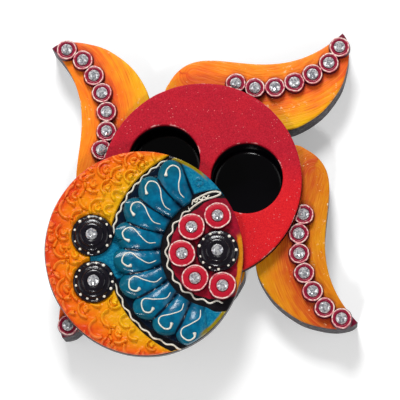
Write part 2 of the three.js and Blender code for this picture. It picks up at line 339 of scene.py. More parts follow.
def board_skin(outline, holes, top, bottom, edge, spacing):
    """A board with hand-rounded upper edges. Each hole is a centre and a profile of radius and
    height from its rounded mouth down; a profile that ends at radius 0 has a floor."""
    skin = Skin()
    mouths = [circle(centre, profile[0][0], spacing * 0.8) for centre, profile in holes]
    loops = [outline, *mouths]
    insets = edge * (1 - np.cos(np.radians([30, 60, 90])))
    points, faces = fill(loops, spacing, insets)
    rounded = top - edge + edge * roll_off(edge_distance(points, *loops), edge)
    skin.patch(at_height(points, rounded), faces)
    skin.sheet([at_height(outline, z) for z in np.linspace(top - edge, bottom, 6)], ring=True)
    under = [outline]
    for (centre, profile), mouth in zip(holes, mouths):
        spokes = (mouth - centre) / profile[0][0]
        rings = [at_height(centre + spokes * radius, z) for radius, z in profile]
        skin.sheet(rings, ring=True)
        if profile[-1][0] > 0:
            under.append(rings[-1][:, :2])
    points, faces = fill(under, spacing * 4)
    skin.patch(at_height(points, bottom), faces)
    return skin


# ---------------------------------------------------------------- paints
def srgb(red, green, blue):
    def linear(value):
        value /= 255
        return value / 12.92 if value <= 0.04045 else ((value + 0.055) / 1.055) ** 2.4
    return (linear(red), linear(green), linear(blue), 1)


class Paint:
    """A Principled material built up from small procedural steps."""

    def __init__(self, name, **sockets):
        self.material = bpy.data.materials.new(name)
        self.material.use_nodes = True
        self.tree = self.material.node_tree
        self.shader = self.tree.nodes["Principled BSDF"]
        for label, value in sockets.items():
            self.shader.inputs[label.replace("_", " ")].default_value = value
        self.place = self.tree.nodes.new("ShaderNodeTexCoord").outputs["Object"]

    def _node(self, kind, sockets=(), **settings):
        """Adds a node; `sockets` pairs names or numbers of inputs with values or other outputs."""
        node = self.tree.nodes.new("ShaderNode" + kind)
        for label, value in settings.items():
            setattr(node, label, value)
        for label, value in dict(sockets).items():
            self._feed(node.inputs[label], value)
        return node

    def _feed(self, socket, value):
        if isinstance(value, bpy.types.NodeSocket):
            self.tree.links.new(value, socket)
        else:
            socket.default_value = value

    def mark(self, name):
        return self._node("Attribute", attribute_name=name).outputs["Fac"]

    def math(self, operation, a, b=0.0, clamp=False):
        return self._node("Math", {0: a, 1: b}, operation=operation, use_clamp=clamp).outputs[0]

    def plus(self, a, b, clamp=False):
        return self.math("ADD", a, b, clamp)

    def times(self, a, b):
        return self.math("MULTIPLY", a, b)

    def fade(self, value, start, end):
        """0 at start, 1 at end, smooth between."""
        low, high = (0.0, 1.0) if start < end else (1.0, 0.0)
        sockets = {"Value": value, "From Min": min(start, end), "From Max": max(start, end),
                   "To Min": low, "To Max": high}
        return self._node("MapRange", sockets, interpolation_type="SMOOTHSTEP").outputs[0]

    def border(self, name, unsteady, start, end):
        """From 0 to 1 between two values of a mark, which the noise given makes unsteady."""
        return self.fade(self.plus(self.mark(name), unsteady), start, end)

    def ragged(self, fine, coarse, share):
        """Noise of two sizes, for the border of a chip or a worn rim."""
        return self.plus(self.noise(fine, 3), self.times(self.noise(coarse, 1), share))

    def wander(self, size, detail, width):
        """Noise that goes to either side of 0."""
        return self.times(self.math("SUBTRACT", self.noise(size, detail), 0.5), width)

    def vector(self, x, y, z=0.0):
        return self._node("CombineXYZ", {0: x, 1: y, 2: z}).outputs[0]

    def noise(self, size, detail=2.0, vector=None, rough=0.5):
        """Noise from 0 to 1 with lumps of `size` millimetres, or of size 1 over a vector given."""
        if vector is None:
            vector, size = self.place, size * MM
        sockets = {"Scale": 1 / size, "Detail": detail, "Roughness": rough, "Vector": vector}
        return self._node("TexNoise", sockets).outputs["Fac"]

    def along_y(self, start, end):
        """0 at y = start and 1 at y = end, both in millimetres."""
        node = self._node("SeparateXYZ", {0: self.place})
        return self.fade(node.outputs[1], start * MM, end * MM)

    def specks(self, size, radius):
        """1 in small round specks about `size` apart, 0 between them."""
        node = self._node("TexVoronoi", {"Scale": 1 / (size * MM), "Vector": self.place})
        return self.fade(node.outputs["Distance"], radius, radius * 0.5)

    def ramp(self, value, stops):
        node = self._node("ValToRGB", {0: value})
        elements = node.color_ramp.elements
        while len(elements) < len(stops):
            elements.new(0.5)
        for element, (position, colour) in zip(elements, stops):
            element.position = position
            element.color = colour
        return node.outputs[0]

    def mix(self, share, a, b):
        return self._node("Mix", {0: share, 6: a, 7: b}, data_type="RGBA").outputs[2]

    def colour(self, value):
        self._feed(self.shader.inputs["Base Color"], value)

    def roughness(self, value, low, high):
        node = self._node("MapRange", {"Value": value, "To Min": low, "To Max": high})
        self._feed(self.shader.inputs["Roughness"], node.outputs[0])

    def bump(self, *layers):
        """Layers of (height, depth in millimetres), stacked."""
        below = {}
        for height, depth in layers:
            node = self._node("Bump", {"Distance": depth * MM, "Height": height, **below})
            below = {"Normal": node.outputs[0]}
        self._feed(self.shader.inputs["Normal"], below["Normal"])


ORANGE, YELLOW = srgb(252, 126, 14), srgb(238, 180, 8)
OCHRE, OLIVE = srgb(214, 122, 4), srgb(112, 106, 8)
CRIMSON, BRIGHT_RED, MAROON = srgb(184, 14, 40), srgb(218, 20, 32), srgb(112, 8, 42)
CREAM, PINK_WHITE = srgb(246, 226, 200), srgb(240, 160, 160)
BLACK, WELL_BLACK, PLUM = srgb(13, 9, 14), srgb(5, 4, 8), srgb(46, 34, 44)
# The navy below is painted shade for the folds of the blue fan.
NAVY_FOLD_SHADE, BLUE, TEAL = srgb(2, 18, 38), srgb(0, 102, 140), srgb(10, 88, 100)


def petal_paint():
    """Orange brushed along each petal: red beside the beads, yellow towards the hollow of the sweep."""
    paint = Paint("orange_petal_paint", Specular_IOR_Level=0.2)
    row, along = paint.mark("row"), paint.mark("along")
    dry = paint.math("SUBTRACT", 1.0, paint.mark("well"))

    def brushed(width, length, detail):
        return paint.noise(1, detail, paint.vector(paint.math("DIVIDE", row, width),
                                                   paint.math("DIVIDE", along, length)))

    streaks, hairs = brushed(1.3, 15, 3), brushed(0.42, 9, 2)
    patches = paint.noise(8, 3)
    shift = paint.times(paint.math("SUBTRACT", paint.plus(streaks, patches), 1.0), 13)
    shifted = paint.plus(paint.plus(row, shift), 21)
    across = paint.math("DIVIDE", shifted, 36, clamp=True)
    bright = paint.ramp(across, [(0, YELLOW), (0.18, srgb(246, 158, 8)), (0.34, srgb(246, 120, 14)),
                                 (0.46, srgb(232, 84, 26)), (0.58, srgb(238, 102, 22)), (0.74, ORANGE),
                                 (1, srgb(244, 150, 20))])
    deep = paint.ramp(across, [(0, srgb(222, 148, 4)), (0.25, srgb(218, 122, 6)),
                               (0.45, srgb(196, 66, 18)), (0.6, srgb(204, 100, 8)), (0.74, OCHRE),
                               (1, srgb(222, 150, 4))])
    top = paint.mix(paint.mark("deep"), bright, deep)
    top = paint.mix(paint.times(paint.fade(hairs, 0.5, 0.8), 0.4), top, srgb(255, 176, 60))
    top = paint.mix(paint.times(paint.fade(hairs, 0.46, 0.24), 0.45), top, srgb(190, 60, 10))
    beside = paint.border("bead_gap", paint.times(streaks, 2.2), 2.6, 0.9)
    top = paint.mix(paint.times(beside, 0.75), top, srgb(160, 16, 44))
    scuffs = paint.times(paint.fade(paint.noise(1.3, 4), 0.63, 0.7),
                         paint.fade(paint.noise(9), 0.5, 0.6))
    top = paint.mix(paint.times(scuffs, 0.7), top, srgb(255, 206, 150))
    top = paint.mix(paint.border("tip", paint.times(streaks, 3), 8.0, 6.0), top, MAROON)
    top = paint.mix(paint.border("edge", paint.ragged(1.2, 7, 1.6), 1.5, 1.25), top, CREAM)
    sides = paint.border("depth", paint.times(paint.noise(2.2, 2), 0.6), 0.9, 1.3)
    wood = paint.mix(paint.noise(3, 4), PLUM, srgb(24, 16, 22))
    finished = paint.mix(sides, top, wood)
    paint.colour(paint.mix(paint.mark("well"), finished, WELL_BLACK))
    paint.roughness(paint.times(paint.noise(1.6, 3), dry), 0.1, 0.85)
    paint.bump((paint.times(streaks, dry), 0.25), (paint.times(hairs, dry), 0.1),
               (paint.noise(0.5, 3), 0.05))
    return paint.material


def disc_paint():
    """Grainy crimson, clearer red towards the front, worn pale in places along the rims."""
    paint = Paint("crimson_grain_paint", Specular_IOR_Level=0.15)
    grain = paint.noise(0.5, 4, rough=0.7)
    dull = paint.ramp(grain, [(0.3, srgb(140, 8, 30)), (0.52, CRIMSON), (0.74, srgb(204, 40, 58))])
    clear = paint.ramp(grain, [(0.3, srgb(188, 10, 26)), (0.52, BRIGHT_RED), (0.76, srgb(232, 48, 40))])
    lean = paint.plus(paint.along_y(16, -12), paint.wander(11, 3, 1), clamp=True)
    base = paint.mix(lean, dull, clear)
    base = paint.mix(paint.times(paint.specks(1.3, 0.18), paint.fade(paint.noise(5), 0.46, 0.62)),
                     base, srgb(236, 130, 130))
    ragged = paint.ragged(0.9, 6, 1.7)
    wear = paint.math("MAXIMUM", paint.border("rim", ragged, 1.55, 1.3),
                      paint.border("edge", ragged, 1.3, 1.1))
    base = paint.mix(wear, base, PINK_WHITE)
    side = paint.border("depth", paint.times(paint.noise(1.5), 0.5), 0.7, 1.1)
    base = paint.mix(side, base, srgb(52, 6, 16))
    paint.colour(paint.mix(paint.mark("well"), base, WELL_BLACK))
    paint.roughness(grain, 0.45, 0.75)
    paint.bump((paint.noise(2.4, 2), 0.12), (grain, 0.14))
    return paint.material


def lid_paint():
    """Black lacquer, with the maroon ground of the bead ring and an ochre edge by the screw."""
    paint = Paint("black_lid_paint", Specular_IOR_Level=0.3)
    wander = paint.wander(3, 2, 1.4)
    ground = paint.mix(paint.noise(1.6, 3), srgb(104, 4, 30), srgb(184, 14, 46))
    top = paint.mix(paint.border("beyond_beads", wander, 0, 0.5), ground, BLACK)
    strip = paint.times(paint.mark("screw_side"), paint.border("edge", wander, 2.4, 1.9))
    top = paint.mix(strip, top, paint.mix(paint.noise(2), srgb(196, 112, 8), srgb(226, 148, 20)))
    side = paint.fade(paint.mark("depth"), 0.6, 1.0)
    paint.colour(paint.mix(side, top, paint.mix(paint.noise(2, 3), srgb(14, 8, 8), srgb(40, 20, 16))))
    paint.roughness(paint.noise(2.5, 3), 0.14, 0.4)
    paint.bump((paint.noise(1.2, 3), 0.08))
    return paint.material


def crescent_paint():
    """Orange clay that runs from golden yellow at the band to red at the rim, with painted shade in the grooves of
    the curls, painted highlights on their crests, and paler pink patches along the rim.
    """
    paint = Paint("orange_clay", Coat_Weight=0.06, Coat_Roughness=0.15, Specular_IOR_Level=0.22)
    way = paint.plus(paint.mark("way"), paint.wander(6, 3, 0.7), clamp=True)
    base = paint.ramp(way, [(0.0, srgb(226, 166, 0)), (0.3, srgb(230, 152, 0)),
                            (0.52, srgb(232, 128, 0)), (0.78, srgb(230, 100, 2)),
                            (1.0, srgb(212, 58, 12))])
    # Painted shade in the grooves of the curls and painted highlights on their crests, both placed by the relief
    # mark.
    painted_groove_shade = paint.ramp(way, [(0.0, srgb(150, 78, 0)), (0.5, srgb(142, 44, 0)),
                             (1.0, srgb(116, 18, 6))])
    painted_crest_highlight = paint.ramp(way, [(0.0, srgb(250, 202, 20)), (0.5, srgb(254, 158, 28)),
                             (1.0, srgb(248, 120, 50))])
    relief = paint.mark("relief")
    base = paint.mix(paint.fade(relief, -0.05, -0.45), base, painted_groove_shade)
    base = paint.mix(paint.times(paint.fade(relief, 0.35, 1.0), 0.7), base, painted_crest_highlight)
    # Paler pink in ragged patches along the rim.
    pale_rim_patches = paint.border("edge", paint.ragged(1.3, 7, 1.3), 1.6, 1.35)
    paint.colour(paint.mix(paint.times(pale_rim_patches, 0.7), base, srgb(240, 140, 104)))
    paint.roughness(paint.noise(1.8, 3), 0.24, 0.5)
    paint.bump((paint.noise(1.4, 2), 0.16), (paint.noise(0.4, 2), 0.04))
    return paint.material


def fan_paint():
    """Blue clay: painted shade in navy in the folds, teal at the round ends, lighter on the plain ends."""
    paint = Paint("blue_clay", Coat_Weight=0.08, Coat_Roughness=0.04, Specular_IOR_Level=0.18)
    blotch = paint.noise(2.8, 3)
    base = paint.mix(paint.fade(blotch, 0.3, 0.75), srgb(0, 84, 118), srgb(0, 112, 148))
    end = paint.times(paint.fade(paint.mark("ring"), 37, 44), paint.mark("pleated"))
    base = paint.mix(paint.times(end, 0.6), base, TEAL)
    plain = paint.mix(paint.fade(paint.noise(0.9, 4, rough=0.75), 0.42, 0.62), BLUE, srgb(26, 130, 158))
    base = paint.mix(paint.mark("pleated"), plain, base)
    # Painted shade: navy darkens the folds between the pleats.
    base = paint.mix(paint.border("fold", paint.times(blotch, 0.2), 1.2, 0.35), base, NAVY_FOLD_SHADE)
    olive = paint.times(paint.mark("plain_edge"), paint.border("edge", paint.noise(4, 2), 2.7, 1.9))
    base = paint.mix(olive, base, paint.mix(paint.noise(2), OLIVE, srgb(164, 138, 16)))
    paint.colour(base)
    paint.roughness(paint.noise(1.5, 3), 0.12, 0.3)
    paint.bump((paint.noise(1.3, 2), 0.1), (paint.noise(0.4, 2), 0.03))
    return paint.material


def bead_paint(name, low, high, side):
    """Satin red clay, darker towards its foot."""
    paint = Paint(name, Coat_Weight=0.12, Coat_Roughness=0.15, Specular_IOR_Level=0.25)
    top = paint.mix(paint.noise(1.4, 3), low, high)
    foot = paint.border("up", paint.times(paint.noise(1.2, 2), 0.2), 0.86, 0.55)
    paint.colour(paint.mix(foot, top, side))
    paint.roughness(paint.noise(1.2, 3), 0.24, 0.5)
    paint.bump((paint.noise(0.9, 3), 0.14))
    return paint.material


def black_clay_paint():
    paint = Paint("black_clay", Coat_Weight=0.2, Coat_Roughness=0.05, Specular_IOR_Level=0.35)
    paint.colour(paint.mix(paint.noise(2.0, 3), srgb(6, 4, 9), srgb(22, 16, 28)))
    paint.roughness(paint.noise(1.0, 3), 0.12, 0.3)
    paint.bump((paint.noise(1.1, 2), 0.1))
    return paint.material


def piping_paint():
    paint = Paint("cream_piping")
    paint.colour(paint.mix(paint.noise(1.1, 3), srgb(216, 210, 190), srgb(250, 246, 236)))
    paint.roughness(paint.noise(0.8, 2), 0.25, 0.5)
    paint.bump((paint.noise(0.5, 2), 0.05))
    return paint.material


def ring_paint():
    """The bead rings: cream dragged through wet red, so it shows pink in places."""
    paint = Paint("pink_piping")
    paint.colour(paint.ramp(paint.noise(1.3, 3), [(0.34, srgb(206, 84, 104)),
                                                  (0.46, srgb(240, 168, 168)),
                                                  (0.6, srgb(250, 226, 214))]))
    paint.roughness(paint.noise(0.8, 2), 0.25, 0.5)
    paint.bump((paint.noise(0.5, 2), 0.05))
    return paint.material


def rhinestone_paint():
    """Foil seen through cut glass: a bright metal under a hard clear coat, with painted sparkle in grey and white
    patches.
    """
    paint = Paint("foil_backed_glass", Metallic=0.62, Coat_Weight=1.0, Coat_Roughness=0.02,
                  Coat_IOR=1.6)
    # Painted sparkle: grey and white patches stand in for facets catching the light.
    painted_sparkle = paint.fade(paint.noise(0.8, 1), 0.4, 0.58)
    paint.colour(paint.mix(painted_sparkle, srgb(172, 172, 182), srgb(254, 254, 255)))
    paint.roughness(paint.noise(0.7, 1), 0.06, 0.2)
    paint.bump((paint.noise(0.9, 1), 0.03))
    return paint.material


def steel_paint():
    paint = Paint("screw_steel", Metallic=1.0)
    paint.colour(paint.mix(paint.noise(1.5, 3), srgb(150, 150, 146), srgb(196, 194, 186)))
    paint.roughness(paint.noise(0.8, 4), 0.28, 0.5)
    paint.bump((paint.noise(0.4, 3), 0.03))
    return paint.material


# ---------------------------------------------------------------- board and disc
BOARD_EDGE = 0.7
DISC_EDGE = 0.6
WELL_FLOOR = 4.0
WELL_MARGIN = 1.5        # within this of a well's wall the board is painted black, under the disc
PETALS = (1, 2, 3, 4)
BEADS_PER_PETAL = 7
BEAD_RADIUS = 4.55
DEEP_PETAL = 1           # the petal painted in deeper ochre


def wells():
    """Centre and radius of the two wells: the disc's own bore walls stand round each opening."""
    found = []
    mesh = frame["nodes"]["well_disc"].data
    points = np.array([v.co[:2] for v in mesh.vertices]) / MM
    for opening in frame["record"]["physics"]["openings"]:
        centre = np.mean(opening["box_m"], axis=0)[:2] / MM
        found.append((centre, away_from(points, centre).min()))
    return found


def bead_centres(petal):
    return [centre_of(f"petal_{petal}_stone_{k + 1}") for k in range(BEADS_PER_PETAL)]


def petal_of(points, outline):
    """For each point, how it lies to the bead row of its petal: side distance (negative on the
    belly side), distance along, distance to the tip, and the petal's number."""
    side, along, tip, number = (np.zeros(len(points)) for _ in range(4))
    best = np.full(len(points), np.inf)
    for petal in PETALS:
        centres = np.array(bead_centres(petal))
        end = outline[np.argmax((outline - centres[0]) @ (centres[-1] - centres[0]))]
        start = centres[0] - 2.2 * (centres[1] - centres[0])
        row = smooth_line([start, *centres, end], 1.0)
        run = length_along(row)
        offset = points[:, None, :] - row
        nearest = np.linalg.norm(offset, axis=2)
        index = nearest.argmin(axis=1)
        ahead = np.gradient(row, axis=0)[index]
        away = offset[np.arange(len(points)), index]
        left = np.sign(ahead[:, 0] * away[:, 1] - ahead[:, 1] * away[:, 0])
        closer = nearest.min(axis=1) < best
        best = np.where(closer, nearest.min(axis=1), best)
        side = np.where(closer, left * nearest.min(axis=1), side)
        along = np.where(closer, run[index], along)
        tip = np.where(closer, np.linalg.norm(points - end, axis=1), tip)
        number = np.where(closer, petal, number)
    return side, along, tip, number


def make_board():
    outline = smooth_line(cad_outline("base_board"), 1.2, closed=True)
    mouth = BOARD_TOP - BOARD_EDGE
    floor = WELL_FLOOR
    holes = [(centre, [(radius, mouth), (radius, floor + 3), (radius - 0.3, floor + 1.2),
                       (radius - 1.2, floor + 0.3), (radius - 3, floor), (radius / 2, floor),
                       (0, floor)]) for centre, radius in wells()]
    skin = board_skin(outline, holes, BOARD_TOP, 0, BOARD_EDGE, BOARD_GRID)
    board = skin.piece("board", petal_paint(), "box", "orange_paint", ["base_board"])
    points = places(board)
    side, along, tip, number = petal_of(points[:, :2], outline)
    edge = edge_distance(points, outline)
    from_wall = np.min([away_from(points, centre) - radius for centre, radius in wells()], axis=0)
    in_well = (from_wall < WELL_MARGIN) & (points[:, 2] > 0.5)
    beads = np.concatenate([bead_centres(petal) for petal in PETALS])
    gap = np.min([away_from(points, bead) for bead in beads], axis=0) - BEAD_RADIUS
    mark(board, row=side, along=along, tip=tip, deep=number == DEEP_PETAL, bead_gap=gap,
         edge=edge + (BOARD_TOP - points[:, 2]), depth=np.where(in_well, 0, BOARD_TOP - points[:, 2]),
         well=in_well)


def make_disc():
    outline = circle((0, 0), DISC_RADIUS, 1.2)
    outline *= (1 + 0.003 * (waver(outline, 14, 5) - 0.7))[:, None]
    low, high = DISC_LOW[2], DISC_HIGH[2]
    holes = [(centre, [(radius, high - DISC_EDGE), (radius, (low + high) / 2), (radius, low)])
             for centre, radius in wells()]
    skin = board_skin(outline, holes, high, low, DISC_EDGE, BOARD_GRID)
    disc = skin.piece("disc", disc_paint(), "box", "red_paint", ["well_disc"])
    points = places(disc)
    rim = np.min([np.abs(away_from(points, centre) - radius) for centre, radius in wells()], axis=0)
    inner = (rim < 0.05) & (points[:, 2] < high - DISC_EDGE - 0.3)
    mark(disc, rim=rim + (high - points[:, 2]), edge=edge_distance(points, outline),
         depth=np.where(rim < 0.05, 0, high - points[:, 2]), well=inner)


# ---------------------------------------------------------------- beads, rings and stones
STONE_RADIUS = 2.6
CROWN_RADIUS = 2.15
TABLE_RADIUS = 1.15
BEAD_LUMPS = 0.9

# Width and height of the piped lines.
PETAL_RING, LID_RING = (0.62, 0.45), (0.66, 0.45)
PLEAT_LINE, BAND_LINE = (0.76, 0.46), (0.82, 0.55)
LOOP_LINE, CURLY_LINE = (0.85, 0.75), (0.55, 0.4)


def lumps(headings, count, seed):
    """Noise from -1 to 1 for each unit heading; a larger count makes more lumps round the turn."""
    flat = headings.reshape(-1, 2)
    found = [noise.noise(Vector((x * count, y * count, seed))) for x, y in flat]
    return np.array(found).reshape(headings.shape[:-1])


def pressed_clear(points, reach):
    """Moves points out of the round box's edge, as a soft bead is pressed against it."""
    factor = np.maximum(1, reach / np.maximum(away_from(points, (0, 0)), 1e-6))
    pressed = points.copy()
    pressed[..., :2] *= factor[..., None]
    return pressed


def bead(skin, centre, radius, low, high, seed, press=None):
    """One clay bead: a spread foot, a round shoulder, and a seat for its stone."""
    rise = high - low
    profile = [(0, 0), (radius + 0.2, 0), (radius + 0.45, 0.12), (radius + 0.3, 0.35), (radius, 0.62),
               (radius - 0.15, 0.8), (radius - 0.55, 0.93), (radius - 1.1, 0.97),
               (STONE_RADIUS + 0.5, 0.95), (STONE_RADIUS + 0.25, 0.86), (STONE_RADIUS + 0.2, 0.74),
               (0, 0.74)]

    def by_hand(rows):
        offset, reach = rows[..., :2] - centre, away_from(rows, centre)
        heading = offset / np.maximum(reach, 1e-6)[..., None]
        out = 1 + 0.07 * lumps(heading, BEAD_LUMPS, seed) * ease(reach, STONE_RADIUS, radius)
        rows[..., :2] = centre + offset * out[..., None]
        return pressed_clear(rows, press) if press else rows

    skin.lathe(centre, [(r, low + t * rise) for r, t in profile], 40, by_hand)


def bead_line(centre, radius, seed, press=None):
    """Where the piped ring runs round a bead's shoulder."""
    loop = circle(centre, radius, 0.5)
    heading = (loop - centre) / radius
    wobble = 0.22 * lumps(heading, 2.5, seed + 9)
    loop = centre + heading * (radius * (1 + 0.06 * lumps(heading, BEAD_LUMPS, seed)) + wobble)[:, None]
    return pressed_clear(loop, press) if press else loop


def leaning(line, rise, phase):
    """Heights that lean a ring to one side."""
    return rise * np.sin(np.linspace(0, 2 * math.pi, len(line)) + phase)


def piping(skin, line, heights, width, height, closed=False, blob=0.0, taper=0.0, seed=0.0):
    """A thick line of cone paint laid along points at one height or each at its own. A blob swells
    its start, and a taper thins its end."""
    line = np.asarray(line, float)
    ahead = (np.roll(line, -1, 0) - np.roll(line, 1, 0)) if closed else np.gradient(line, axis=0)
    ahead /= np.maximum(np.linalg.norm(ahead, axis=1), 1e-9)[:, None]
    across = np.stack([-ahead[:, 1], ahead[:, 0]], -1)
    run = length_along(line)
    full = 1 + 0.16 * waver_along(run, 1.7, seed)
    if not closed:
        full *= (1 - taper * run / run[-1]) * (1 + blob * np.exp(-(run / 1.5) ** 2))
        for distance, rounding in ((run, 0.6), (run[-1] - run, 1.2)):
            full *= np.maximum(roll_off(distance, width * rounding), 0.02)
    rows = []
    for angle in np.radians([0, 35, 65, 90, 115, 145, 180, 215, 270, 325]):
        flat = line + across * (np.cos(angle) * full * width / 2)[:, None]
        lift = np.sin(angle) * height * (full if angle <= math.pi else 0.35 * full)
        rows.append(at_height(flat, heights + lift))
    skin.sheet(rows, ring=closed, tube=True)
    if not closed:
        count = len(rows)
        for end in (0, len(line) - 1):
            skin.patch([row[end] for row in rows], [range(count)])


def make_bead_row(petal, paint, line_paint):
    node = f"petal_{petal}_bead_row"
    low, high = corners_of(node)
    radius, press = BEAD_RADIUS, DISC_RADIUS + 0.25
    row, rings = Skin(), Skin()
    for index, centre in enumerate(bead_centres(petal)):
        seed = petal * 10 + index
        bead(row, centre, radius, low[2], high[2], seed, press)
        line = bead_line(centre, radius - 0.35, seed, press + 0.4)
        heights = high[2] - 0.35 + leaning(line, 0.12, seed)
        piping(rings, line, heights, *PETAL_RING, closed=True, seed=seed)
    beads = row.piece(f"petal_{petal}_beads", paint, "box", "maroon_clay", [node])
    mark_height(beads, low, high)
    rings.piece(f"petal_{petal}_bead_rings", line_paint, "box", "white_piping")


def make_lid_bead(index, paint, line_paint):
    node = f"lid_bead_{index}"
    low, high = corners_of(node)
    centre, radius = centre_of(node), (high[0] - low[0]) / 2 - 0.3
    body, ring = Skin(), Skin()
    bead(body, centre, radius, low[2], high[2], 60 + index)
    line = bead_line(centre, radius - 0.15, 60 + index)
    heights = high[2] - 0.4 + leaning(line, 0.15, index)
    piping(ring, line, heights, *LID_RING, closed=True, seed=index)
    thing = body.piece(f"lid_bead_{index}_body", paint, "lid", "crimson_clay", [node])
    mark_height(thing, low, high)
    ring.piece(f"lid_bead_{index}_ring", line_paint, "lid", "white_piping")


def make_stone(node, body, paint):
    """A flat-backed rhinestone: girdle, eight crown facets and a table, turned at random."""
    low, high = corners_of(node)
    centre, rise = centre_of(node), high[2] - low[2]
    turn = dice.uniform(0, 360)
    skin = Skin()

    def ring(radius, share, count, shift=0.0):
        angle = np.radians(turn + shift + np.arange(count) * 360 / count)
        return at_height(polar(centre, radius, angle), low[2] + share * rise)

    base, girdle = ring(STONE_RADIUS, 0, 16), ring(STONE_RADIUS, 0.36, 16)
    crown, table = ring(CROWN_RADIUS, 0.66, 8, 22.5), ring(TABLE_RADIUS, 1, 8)
    skin.sheet([base, girdle], ring=True)
    skin.patch(base, [range(16)])
    skin.patch(table, [range(8)])
    for k in range(8):
        here, after = crown[k], crown[(k + 1) % 8]
        skin.patch([girdle[2 * k], girdle[2 * k + 1], here], [(0, 1, 2)])
        skin.patch([girdle[2 * k + 1], girdle[(2 * k + 2) % 16], here], [(0, 1, 2)])
        skin.patch([here, girdle[(2 * k + 2) % 16], after, table[(k + 1) % 8]], [(0, 1, 2, 3)])
        skin.patch([here, table[(k + 1) % 8], table[k]], [(0, 1, 2)])
    skin.piece(f"{node}_cut", paint, body, "rhinestone", [node], sharp=1)


# ---------------------------------------------------------------- lid
FAN_INNER = 25.5         # radii about the screw that the lid's pattern keeps to
CRESCENT_INNER = 49.2
LOBES = 9
CURLS_WITH_BALL = 0.6    # share of the crescent's scales that have a small curl inside
LOBE_STEP = 16.2         # degrees from one pleat to the next
LOBE_TURN = 1.9
LOBE_HALF_WIDTH = 6.6
LOBE_NECK = 3.5
LOBE_SWAY = 2.4          # degrees that a pleat sways by on its way out
LOBE_RISE = (1.5, 2.2)   # height of a pleat at its neck, and how much it gains further out
LOBE_REACHES = [(-60, 47.2), (-35, 47.0), (10, 46.8), (45, 45.8), (62, 44.4)]    # by angle
FAN_SPAN = (-99.0, 95.0)
CRESCENT_SPAN = 66.5
SCALE_ROWS = [(51.4, 3.6), (56.8, 4.8), (63.0, 5.3), (69.4, 5.3), (75.6, 4.8)]   # radius, size
SCALE_STEP = 8.6
PLAIN_FROM = 71.0        # degrees either side where the pleats end and the plain clay begins
EYE_GAP = (8.2, 10.8)    # degrees over which the fan reaches out between the eyes
EYE_REACH = 57.2
CLAY_SUNK = 0.05         # the clay's underside lies this far under the lid's top
LID_EDGE = 0.8
COUNTERSINK = (4.6, 2.5, 3.3)    # mouth radius, hole radius and depth of the screw hole
BEAD_GROUND = (21.2, 3.0)        # radius of the maroon ground, and how far it widens at its end
CURL_LIP, CURL_GROOVE, CURL_BALL = 1.35, 1.15, 0.7


def lid_outline():
    return smooth_line(cad_outline("lid_board"), 1.0, closed=True)


def lid_reach(degrees, outline):
    """Distance from the screw to the lid's edge in each direction."""
    radius, angle = about_screw(outline)
    order = np.argsort(angle)
    return np.interp(degrees, angle[order], radius[order], period=360)


def make_lid_plate(outline):
    high, low = LID_TOP, LID_LOW[2]
    by_hand = outline - LID_CENTRE
    by_hand *= (1 + 0.004 * (waver(outline, 11, 3) - 0.6))[:, None]
    outline = LID_CENTRE + by_hand
    mouth, hole, sunk = COUNTERSINK
    holes = [(SCREW, [(mouth, high - LID_EDGE), (hole, high - sunk), (hole, low)])]
    skin = board_skin(outline, holes, high, low, LID_EDGE, BOARD_GRID)
    plate = skin.piece("lid_plate", lid_paint(), "lid", "black_paint", ["lid_board"])
    points = places(plate)
    ring, angle = about_screw(points)
    ground = BEAD_GROUND[0] + BEAD_GROUND[1] * ease(-angle, 64, 92)
    depth = high - points[:, 2]
    screw_side = np.where(angle > 0, ease(angle, 108, 118), ease(-angle, 140, 152))
    mark(plate, beyond_beads=ring - ground, edge=edge_distance(points, outline) + depth * 0.5,
         depth=depth, screw_side=screw_side)


def lobe_angle(index):
    """The angle of a pleat's middle."""
    return (index - (LOBES - 1) / 2) * LOBE_STEP + LOBE_TURN


def lobe_reach(degrees):
    """The pleats grow shorter from the first to the last."""
    return np.interp(degrees, *zip(*LOBE_REACHES))


def lobe_width(outward, reach):
    """Half width of a pleat at a distance from the screw: a teardrop with its round end outward."""
    half = LOBE_HALF_WIDTH
    widest = reach - half
    neck = LOBE_NECK + (half - LOBE_NECK) * ease(outward, 24, widest)
    end = np.sqrt(np.clip(half**2 - (outward - widest) ** 2, 0, None))
    return np.where(outward < widest, neck, end)


def fan_relief(radius, degrees):
    """Height over the clay sheet, and how clear of a fold each point is from 0 to 1."""
    relief, second = np.zeros_like(radius), np.zeros_like(radius)
    for index in range(LOBES):
        off = np.radians(degrees - lobe_angle(index) - LOBE_SWAY * np.sin((radius - 24) / 7))
        outward, aside = radius * np.cos(off), radius * np.sin(off)
        reach = lobe_reach(lobe_angle(index))
        share = np.abs(aside) / np.maximum(lobe_width(outward, reach), 0.05)
        puff = np.sqrt(np.clip(1 - share**2, 0, 1)) * (outward < reach)
        rise = (LOBE_RISE[0] + LOBE_RISE[1] * ease(outward, 25, 36)) * puff
        second = np.where(rise > relief, relief, np.maximum(second, rise))
        relief = np.maximum(relief, rise)
    return relief, np.minimum((relief - second) / 1.9, relief / 1.8)


def plain_share(degrees):
    """1 on the plain ends of the fan, 0 on the pleats."""
    upper = ease(-degrees, PLAIN_FROM - 1.5, PLAIN_FROM + 1.5)
    return np.maximum(upper, ease(degrees, PLAIN_FROM + 2, PLAIN_FROM + 5))


def fan_surface(points):
    """Height of the blue clay over the lid at points on it, and how clear of a fold they are."""
    radius, degrees = about_screw(points)
    relief, clear = fan_relief(radius, degrees)
    sheet = 0.5 + 0.35 * plain_share(degrees)
    dent = 0.12 * waver(np.asarray(points)[..., :2], 2.6, 4)
    return sheet + relief + dent, clear


